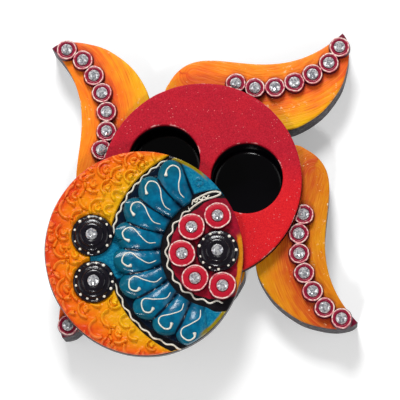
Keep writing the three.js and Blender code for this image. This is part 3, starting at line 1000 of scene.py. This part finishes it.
def polar_skin(start, end, inner, outer, surface, bottom, spacing):
    """Clay laid between two radii that vary with the angle, with a rounded edge all round."""
    skin = Skin()
    middle = (np.mean(inner) + np.mean(outer)) / 2
    degrees = np.linspace(start, end, int(math.radians(end - start) * middle / spacing))
    near, far = (np.interp(degrees, np.linspace(start, end, len(side)), side)
                 for side in (inner, outer))
    shares = np.linspace(0, 1, int((far - near).max() / spacing) + 2)
    shares = np.concatenate([[0, 0.004, 0.012], shares[1:-1], [0.988, 0.996, 1]])
    radius = near + shares[:, None] * (far - near)
    angle = np.broadcast_to(degrees, radius.shape)
    flat = on_lid(radius, angle)
    ends = np.radians(np.minimum(angle - start, end - angle)) * radius
    margin = np.minimum(np.minimum(radius - near, far - radius), ends)
    height = surface(flat) * roll_off(margin, 0.55)
    rows = list(at_height(flat, bottom + height))
    rows += [at_height(flat[side], bottom - CLAY_SUNK) for side in (-1, 0)]
    skin.sheet(rows, tube=True)
    for cut in (0, -1):
        skin.patch([row[cut] for row in rows], [range(len(rows))])
    return skin


def small_curl(points, centre, radius=1.5):
    """A ring pressed into plain clay with a loop of wire."""
    return np.exp(-((away_from(points, centre) - radius) / 0.45) ** 2)


def make_fan(outline):
    degrees = np.linspace(*FAN_SPAN, 800)
    rim = lid_reach(degrees, outline) - 0.5
    between_eyes = ease(-np.abs(degrees), -EYE_GAP[1], -EYE_GAP[0])
    sheet = lobe_reach(degrees) + 0.2
    sheet += (rim - sheet) * plain_share(degrees)
    outer = np.minimum(sheet + (EYE_REACH - sheet) * between_eyes, rim)
    inner = FAN_INNER + 2.7 * ease(-degrees, 62, 72) + 1.6 * ease(degrees, 74, 86)
    inner = np.minimum(inner, outer - 0.3)
    curl = on_lid(32.6, -78)

    def surface(flat):
        return fan_surface(flat)[0] + 0.8 * small_curl(flat, curl)

    skin = polar_skin(*FAN_SPAN, inner, outer, surface, LID_TOP, 0.45)
    fan = skin.piece("fan_clay", fan_paint(), "lid", "blue_clay", ["blue_fan"])
    points = places(fan)
    ring, angle = about_screw(points)
    clear = fan_surface(points)[1]
    between = ease(ring, 41, 44) * ease(-np.abs(angle), -13.5, -10.5) * ease(-clear, -0.6, -0.2)
    plain = np.maximum(plain_share(angle), between)
    corner = np.maximum(ease(-angle, 62, 66) * ease(angle, -86, -80), ease(angle, 74, 78))
    # fold says how clear of a fold each point is; the paint darkens the folds with painted shade.
    mark(fan, fold=np.maximum(clear, 1.2 * plain), ring=ring, pleated=1 - plain, plain_edge=corner,
         edge=edge_distance(points, outline))


def arc(centre, radius, heading, start, end, tightening=0.0):
    """An arc whose middle faces `heading` (radians); tightening draws its end inwards."""
    turns = np.radians(np.linspace(start, end, 24))
    drawn_in = radius * (1 - tightening * np.linspace(0, 1, 24) ** 3)
    return polar(centre, drawn_in, heading + turns)


def crescent_curls():
    """The pressed curls, like scales with their backs outward: wide arcs, each on its centre, and
    inside many of them a small arc that ends in a ball."""
    curls, centres, balls = [], [], []
    for number, (radius, size) in enumerate(SCALE_ROWS):
        step = math.degrees(SCALE_STEP / radius)
        for degrees in np.arange(-72 + (number % 2) * step / 2, 72, step):
            turn = degrees + dice.uniform(-1.2, 1.2)
            centre = on_lid(radius + dice.uniform(-1.0, 1.0), turn)
            heading = AXIS_BEARING + math.radians(turn) + dice.uniform(-0.55, 0.55)
            heading -= 0.3 * np.sign(degrees)
            hand = -np.sign(degrees) or 1
            wide = size * dice.uniform(0.8, 1.05)
            curls.append(arc(centre, wide, heading, -88 * hand, 84 * hand, 0.1))
            centres.append(centre)
            if dice.random() < CURLS_WITH_BALL:
                hook = arc(centre, 0.42 * wide, heading + 0.3 * hand, -70 * hand, 150 * hand, 0.45)
                curls.append(hook)
                centres.append(centre)
                balls.append(hook[-1])
    return curls, centres, balls


def tree_of(points):
    tree = kdtree.KDTree(len(points))
    for index, point in enumerate(points):
        tree.insert((*point, 0), index)
    tree.balance()
    return tree


def curl_relief(curls, centres, balls):
    """A function for the height that the curls add: a groove along each back, a lip inside it and
    a small ball at each inner end."""
    samples, owners = [], []
    for curl, centre in zip(curls, centres):
        line = smooth_line(curl, 0.25)
        samples.extend(line)
        owners.extend([centre] * len(line))
    tree, knobs = tree_of(samples), tree_of(balls)

    def relief(flat):
        heights = []
        for point in flat.reshape(-1, 2):
            nearest, index, away = tree.find((*point, 0))
            owner = owners[index]
            outside = math.dist(point, owner) > math.dist(nearest[:2], owner)
            away *= 1 if outside else -1
            lip = CURL_LIP * math.exp(-((away + 0.65) / 0.8) ** 2)
            groove = CURL_GROOVE * math.exp(-((away - 0.45) / 0.52) ** 2)
            knob = knobs.find((*point, 0))[2]
            ball = CURL_BALL * math.sqrt(max(0, 1 - (knob / 0.9) ** 2))
            heights.append(max(lip - groove, ball))
        return np.array(heights).reshape(flat.shape[:-1])

    return relief


def make_crescent(outline):
    degrees = np.linspace(-CRESCENT_SPAN, CRESCENT_SPAN, 600)
    between_eyes = ease(-np.abs(degrees), -EYE_GAP[1] - 0.4, -EYE_GAP[0] - 0.4)
    inner = CRESCENT_INNER + (EYE_REACH + 0.2 - CRESCENT_INNER) * between_eyes
    outer = lid_reach(degrees, outline) - 0.45
    inner = np.minimum(inner, outer - 0.2)
    relief = curl_relief(*crescent_curls())
    eye_radius = corners_of("upper_eye_rosette")[1][0] - EYES[0][0]

    def surface(flat):
        radius, angle = about_screw(flat)
        worn_rim = 0.35 + 0.65 * ease(lid_reach(angle, outline) - radius, 0.8, 3.4)
        lumpy = 0.34 * waver(flat, 2.6, 2) + 0.16 * waver(flat, 1.1, 8)
        worked = 0.9 + worn_rim * (relief(flat) + lumpy)
        for eye in EYES:
            worked *= ease(np.linalg.norm(flat - eye, axis=-1), eye_radius - 0.3, eye_radius + 1.4)
        return 0.5 + worked

    skin = polar_skin(-CRESCENT_SPAN, CRESCENT_SPAN, inner, outer, surface, LID_TOP, 0.34)
    clay = skin.piece("crescent_clay", crescent_paint(), "lid", "orange_clay", ["embossed_crescent"])
    points = places(clay)
    ring, _ = about_screw(points)
    edge = edge_distance(points, outline)
    way = (ring - CRESCENT_INNER) / np.maximum(ring - CRESCENT_INNER + edge * 1.1, 0.1)
    # The relief mark also places the painted shade in the grooves and the painted highlights on the crests.
    mark(clay, relief=relief(points[:, :2]), way=way, edge=edge)


# The hook on the first pleat and on the last: distance from the screw, and across the pleat.
FIRST_HOOK = [(40.8, 3.3), (43.2, 1.2), (43.7, -1.9), (41.6, -3.6),
              (38.0, -2.6), (34.6, 0.1), (31.2, 1.5), (28.2, 0.9)]
LAST_HOOK = [(38.0, 3.2), (40.5, 3.9), (42.3, 1.8), (41.4, -1.6),
             (38.6, -2.5), (35.2, 0.5), (31.4, 3.0), (27.6, 2.0)]


def make_squiggles(paint):
    """A cream hook piped on every pleat."""
    skin = Skin()
    for index in range(LOBES):
        share = ease(index, 1, 5)
        lean = dice.uniform(-0.2, 0.2)
        knots = []
        for (near, aside), (far, beside) in zip(FIRST_HOOK, LAST_HOOK):
            radius = near + (far - near) * share + dice.uniform(-0.25, 0.25)
            across = aside + (beside - aside) * share + lean
            knots.append(on_lid(radius, lobe_angle(index) + math.degrees(across / radius)))
        line = smooth_line(knots, 0.3, corner=NO_CORNERS)
        heights = LID_TOP + fan_surface(line)[0] - 0.06
        piping(skin, line, heights, *PLEAT_LINE, blob=1.2, taper=0.45, seed=index)
    skin.piece("pleat_squiggles", paint, "lid", "white_piping")


def wavy(start, end, radius, swing, wave, seed):
    """Points of a hand-piped wave that follows an arc about the screw."""
    middle = np.mean(radius)
    degrees = np.linspace(start, end, int(abs(math.radians(end - start)) * middle / 0.4))
    run = np.radians(degrees - start) * middle
    bend = swing * np.sin(2 * math.pi * run / wave + seed) + 0.35 * waver_along(run, 6, seed)
    centre = np.interp(degrees, np.linspace(start, end, len(radius)), radius)
    return on_lid(centre + bend, degrees)


# First and last angle, radii on the way, swing, length of a wave, seed and swelling at the start.
WAVES = [(-12.4, -64.5, [48.5, 48.1, 48.0, 47.8, 47.8, 48.1], 0.4, 5.2, 0.4, 0.6),
         (12.4, 67, [48.3, 48.1, 48.2, 48.1, 47.8, 47.1, 46.5], 0.42, 6.4, 2.0, 0.0),
         (93, -60, [25.4, 24.6, 23.4, 22.6, 22.6, 22.9, 22.8, 22.8, 22.6, 22.9], 0.62, 6.6, 1.0, 0.0)]


def make_wavy_lines(paint):
    """Two waves outside the pleats, one each side of the eyes, and a long one inside them."""
    skin = Skin()
    for index, (*wave, blob) in enumerate(WAVES):
        piping(skin, wavy(*wave), LID_TOP - 0.02, *BAND_LINE, blob=blob, seed=20 + index)
    skin.piece("band_lines", paint, "lid", "white_piping")


# Distance from the screw and angle.
END_LOOP = [(22.9, -60), (23.6, -68), (24.3, -77), (24.8, -86), (25.6, -93), (26.4, -95.5),
            (27.2, -94), (27.4, -88), (27.0, -82), (26.2, -74), (25.9, -66)]


def make_inner_loop(paint):
    """Two strands that meet in a narrow loop where the inner wave ends, a curly line between."""
    skin = Skin()
    line = smooth_line([on_lid(r, a) for r, a in END_LOOP], 0.35, corner=NO_CORNERS)
    line = line + 0.18 * np.column_stack([waver(line, 1.6, 31), waver(line, 1.6, 32)])
    piping(skin, line, LID_TOP + 0.02, *LOOP_LINE, seed=33)
    curly = [on_lid(24.9 + 0.03 * (-a - 62) + 0.5 * math.sin(a * 1.1), a)
             for a in np.arange(-64, -85, -0.7)]
    curly = smooth_line(curly, 0.35, corner=NO_CORNERS)
    piping(skin, curly, LID_TOP, *CURLY_LINE, seed=34)
    skin.piece("inner_loop", paint, "lid", "white_piping")


# Radius and height, as shares of the rosette's own; for a dot, share of its radius and millimetres.
ROSETTE_PROFILE = [(0, 0), (0.985, 0), (1.0, 0.1), (1.0, 0.3), (0.97, 0.4), (0.9, 0.45), (0.82, 0.48),
                   (0.79, 0.58), (0.74, 0.67), (0.66, 0.73), (0.58, 0.76), (0.56, 0.84), (0.51, 0.92),
                   (0.44, 0.955), (0.36, 0.955), (0.31, 0.93), (0.29, 0.86), (0, 0.86)]
DOT_PROFILE = [(0, -0.1), (1, -0.1), (1, 0.1), (0.8, 0.3), (0.4, 0.42), (0, 0.45)]


def make_rosette(name, paint, dot_paint, dots):
    """Stepped black clay with a seat for its stone, and white dots round its lowest step."""
    node = f"{name}_rosette"
    low, high = corners_of(node)
    centre, radius, rise = centre_of(node), (high[0] - low[0]) / 2, high[2] - low[2]
    seed = dice.uniform(0, 50)

    def by_hand(rows):
        offset = rows[..., :2] - centre
        out = 1 + 0.012 * waver(rows[..., :2], 4, seed)
        rows[..., :2] = centre + offset * out[..., None]
        above_foot = ease(rows[..., 2], low[2] + 0.5, low[2] + 1.5)
        rows[..., 2] += 0.07 * waver(rows[..., :2], 2.5, seed + 3) * above_foot
        return rows

    body, spots = Skin(), Skin()
    body.lathe(centre, [(r * radius, low[2] + z * rise) for r, z in ROSETTE_PROFILE], 72, by_hand)
    body.piece(f"{name}_rosette_clay", paint, "lid", "black_clay", [node])
    for k in range(dots):
        angle = 2 * math.pi * (k + dice.uniform(-0.18, 0.18)) / dots
        spot = polar(centre, radius * dice.uniform(0.83, 0.88), angle)
        size, ground = dice.uniform(0.64, 0.84), low[2] + 0.4 * rise
        spots.lathe(spot, [(share * size, ground + up) for share, up in DOT_PROFILE], 12)
    spots.piece(f"{name}_rosette_dots", dot_paint, "lid", "white_piping")


# ---------------------------------------------------------------- everything together
def make_object():
    outline = lid_outline()
    make_board()
    make_disc()
    cream, pink, foil, black = piping_paint(), ring_paint(), rhinestone_paint(), black_clay_paint()
    maroon = bead_paint("maroon_clay", srgb(112, 4, 36), srgb(164, 14, 58), srgb(62, 2, 26))
    crimson = bead_paint("crimson_clay", srgb(164, 4, 32), srgb(202, 16, 48), srgb(88, 2, 22))
    for petal in PETALS:
        make_bead_row(petal, maroon, pink)
        for k in range(BEADS_PER_PETAL):
            make_stone(f"petal_{petal}_stone_{k + 1}", "box", foil)
    make_lid_plate(outline)
    make_fan(outline)
    make_crescent(outline)
    make_squiggles(cream)
    make_wavy_lines(cream)
    make_inner_loop(cream)
    for index in range(1, 6):
        make_lid_bead(index, crimson, pink)
        make_stone(f"lid_stone_{index}", "lid", foil)
    for name, dots in (("pivot", 13), ("upper_eye", 11), ("lower_eye", 13)):
        make_rosette(name, black, cream, dots)
        make_stone(f"{name}_stone", "lid", foil)
    steel = steel_paint()
    for node in ("pivot_screw", "pivot_washer"):
        thing = frame["nodes"][node]
        thing.data.materials.clear()
        thing.data.materials.append(steel)


# ---------------------------------------------------------------- floor, light and camera
def make_floor():
    mesh = bpy.data.meshes.new("floor")
    corners = [(-3, -3, 0), (3, -3, 0), (3, 3, 0), (-3, 3, 0)]
    mesh.from_pydata(corners, [], [(0, 1, 2, 3)])
    paint = Paint("pale_floor", Roughness=0.9, Specular_IOR_Level=0.0, Emission_Strength=0.3)
    paint.shader.inputs["Emission Color"].default_value = (1, 1, 1, 1)
    paint.colour(srgb(232, 232, 232))
    mesh.materials.append(paint.material)
    floor = put_in_scene("floor", mesh)


SKY_STRENGTH = 0.16
# Name, azimuth and elevation in degrees, distance and size in metres, power in watts.
SOFTBOXES = [("key", -8, 44, 1.2, 0.36, 12.5), ("front", 192, 46, 1.2, 0.16, 4.5),
             ("left", -95, 34, 1.3, 0.7, 2), ("right", 95, 34, 1.3, 0.7, 2)]


def make_softbox(name, azimuth, elevation, distance, size, power):
    """A square area light that looks at the object; azimuth 0 is along +Y, 90 along +X."""
    lamp = bpy.data.lights.new(name, "AREA")
    lamp.size = size
    lamp.energy = power
    thing = put_in_scene(name, lamp)
    a, e = math.radians(azimuth), math.radians(elevation)
    heading = Vector((math.sin(a) * math.cos(e), math.cos(a) * math.cos(e), math.sin(e)))
    thing.location = distance * heading
    thing.rotation_euler = (-thing.location).to_track_quat("-Z", "Y").to_euler()


def make_light():
    world = bpy.data.worlds.new("studio")
    world.use_nodes = True
    world.node_tree.nodes["Background"].inputs["Color"].default_value = (1, 1, 1, 1)
    world.node_tree.nodes["Background"].inputs["Strength"].default_value = SKY_STRENGTH
    bpy.context.scene.world = world
    for softbox in SOFTBOXES:
        make_softbox(*softbox)
    bpy.context.scene.view_settings.view_transform = "Standard"


CAMERA_TILT = 12.5       # degrees off straight down
CAMERA_BEARING = -75     # degrees, the side it leans to
CAMERA_AIM = (-1.0, -7.9)
CAMERA_LENS = 197.9
CAMERA_DISTANCE = 1.0    # metres


def make_camera():
    """Nearly overhead, leaning a little towards the side of the box that holds the screw."""
    tilt, bearing = math.radians(CAMERA_TILT), math.radians(CAMERA_BEARING)
    aim = Vector((*CAMERA_AIM, BOARD_TOP)) * MM
    sideways = math.sin(tilt)
    outward = Vector((sideways * math.cos(bearing), sideways * math.sin(bearing), math.cos(tilt)))
    seat = Vector((0, 0, BOARD_TOP * MM)) + CAMERA_DISTANCE * outward
    forward = (aim - seat).normalized()
    right = forward.cross(Vector((0, 1, 0))).normalized()
    up = right.cross(forward)
    camera = bpy.data.cameras.new("camera")
    camera.lens = CAMERA_LENS
    camera.sensor_width = 36
    thing = put_in_scene("camera", camera)
    turn = Matrix((right, up, -forward)).transposed().to_4x4()
    thing.matrix_world = Matrix.Translation(seat) @ turn
    bpy.context.scene.camera = thing


make_object()
make_floor()
make_light()
make_camera()
